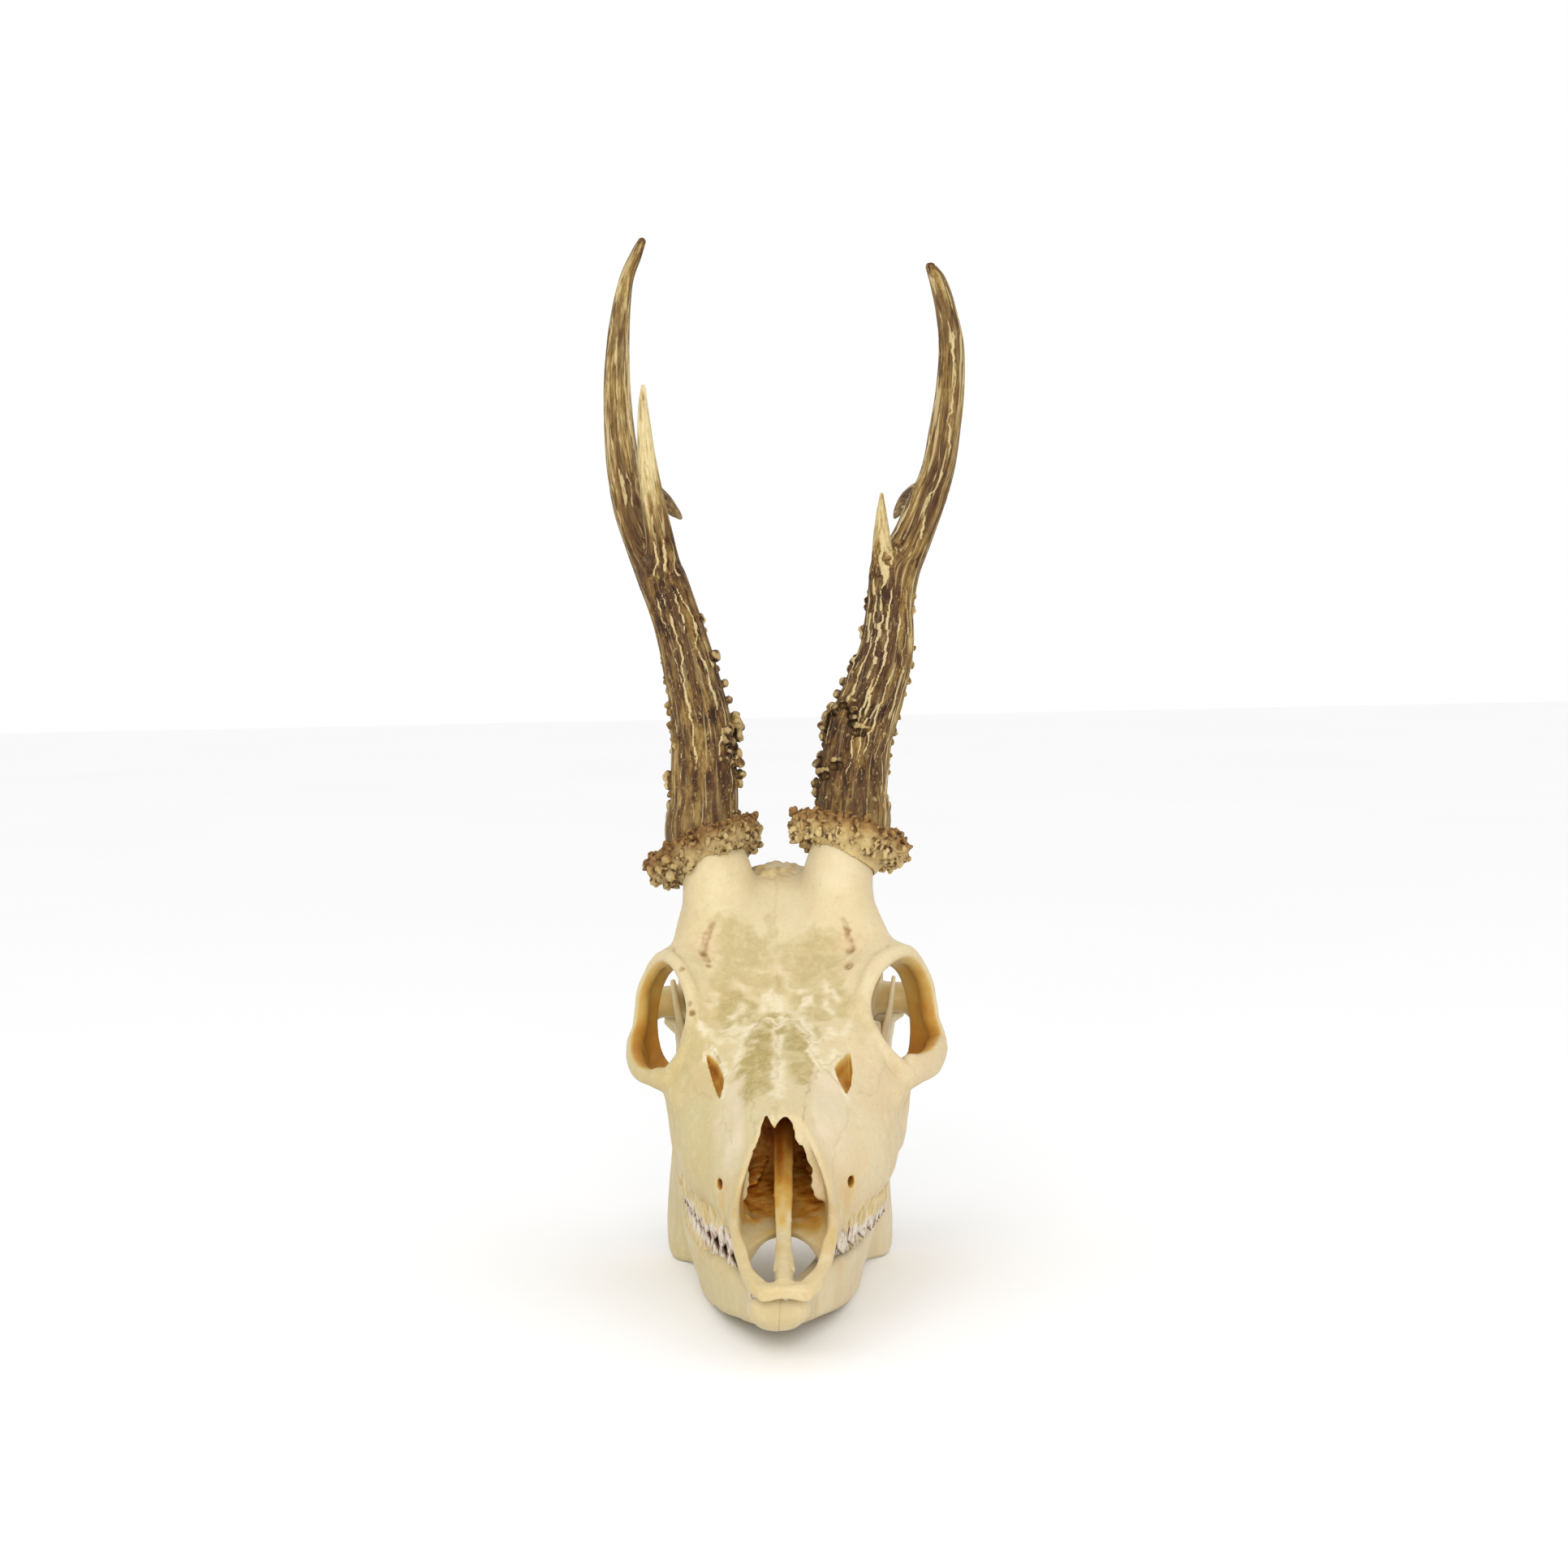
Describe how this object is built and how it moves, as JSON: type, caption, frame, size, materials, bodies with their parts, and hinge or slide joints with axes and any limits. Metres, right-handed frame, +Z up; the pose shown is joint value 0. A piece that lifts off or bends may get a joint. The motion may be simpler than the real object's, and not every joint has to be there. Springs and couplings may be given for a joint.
{
  "type": "roe deer skull with antlers and lower jaw",
  "caption": "Complete skull of a roe deer buck with both jaws, teeth and ridged, forked antlers, life size, lying on its lower jaw.",
  "frame": {"origin": "on the floor, under the middle of the model's bounding box", "axes": "+Z up, the face looks towards -Y, +X is the animal's left"},
  "size_m": [0.1106, 0.2136, 0.3053],
  "materials": {
    "bone": "dry cleaned bone, cream with tan and olive patches",
    "jaw_bone": "dry cleaned bone, cream",
    "burr": "knobbly, beige with brown crevices",
    "antler_beam": "ridged and pearled, dark brown",
    "antler_tine": "smoother, tan to polished ivory at the tips",
    "teeth": "enamel, off white with brown stain in the folds"
  },
  "bodies": {
    "root": {"cranium": "bone", "mandible_left": "jaw_bone", "mandible_right": "jaw_bone", "antler_left_burr": "burr", "antler_left_beam_lower": "antler_beam", "antler_left_tine_front": "antler_tine", "antler_left_beam_middle": "antler_beam", "antler_left_tine_rear": "antler_tine", "antler_left_beam_upper": "antler_tine", "antler_right_burr": "burr", "antler_right_beam_lower": "antler_beam", "antler_right_tine_front": "antler_tine", "antler_right_beam_middle": "antler_beam", "antler_right_tine_rear": "antler_tine", "antler_right_beam_upper": "antler_tine"}
  },
  "joints": []
}
